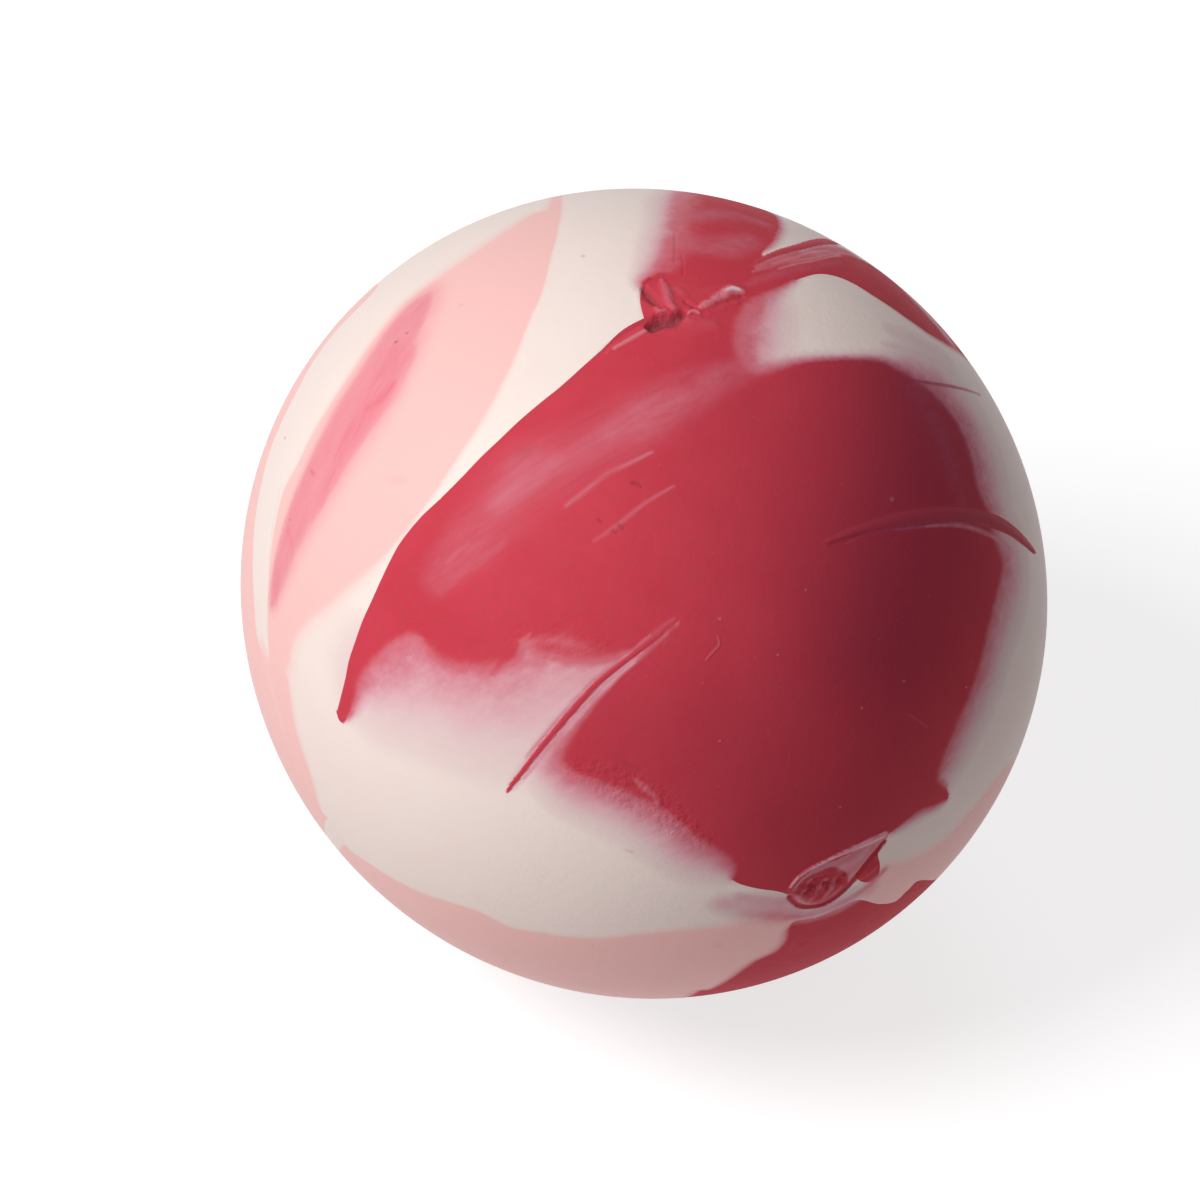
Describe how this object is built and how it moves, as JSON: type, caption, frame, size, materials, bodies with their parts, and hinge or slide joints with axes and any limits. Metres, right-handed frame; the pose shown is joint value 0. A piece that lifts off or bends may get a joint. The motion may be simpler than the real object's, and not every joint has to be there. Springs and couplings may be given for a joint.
{
  "type": "bouncy ball",
  "caption": "Solid marbled rubber bouncy ball: a cream body with crimson, rose and pale pink rubber seated in its surface, and the torn scar of its mould gate.",
  "frame": {"origin": "centre of the ball", "axes": "+Z from the centre through the scar of the mould gate, straight up; -Y towards the side that shows the broad crimson sheets; +X to the right of it"},
  "size_m": [0.045, 0.045, 0.0456],
  "materials": {
    "cream_rubber": "satin moulded rubber",
    "pink_rubber": "satin moulded rubber",
    "rose_rubber": "satin moulded rubber",
    "lilac_rubber": "satin moulded rubber",
    "crimson_rubber": "satin moulded rubber",
    "deep_crimson_rubber": "satin moulded rubber"
  },
  "bodies": {
    "root": {"cream_body": "cream_rubber", "crimson_swirl": "crimson_rubber", "crimson_lobe": "crimson_rubber", "crimson_wisp": "deep_crimson_rubber", "crimson_ribbon": "deep_crimson_rubber", "crimson_cap": "crimson_rubber", "crimson_band": "crimson_rubber", "crimson_streak": "deep_crimson_rubber", "crimson_crescent": "crimson_rubber", "pink_panel": "pink_rubber", "rose_vein": "rose_rubber", "pink_rim": "pink_rubber", "pink_keel": "pink_rubber", "pink_flank": "pink_rubber", "gate_scar": "deep_crimson_rubber", "gate_tongue": "lilac_rubber", "knot_lip": "lilac_rubber", "knot_eye": "rose_rubber", "knot_bead": "crimson_rubber"}
  },
  "joints": []
}
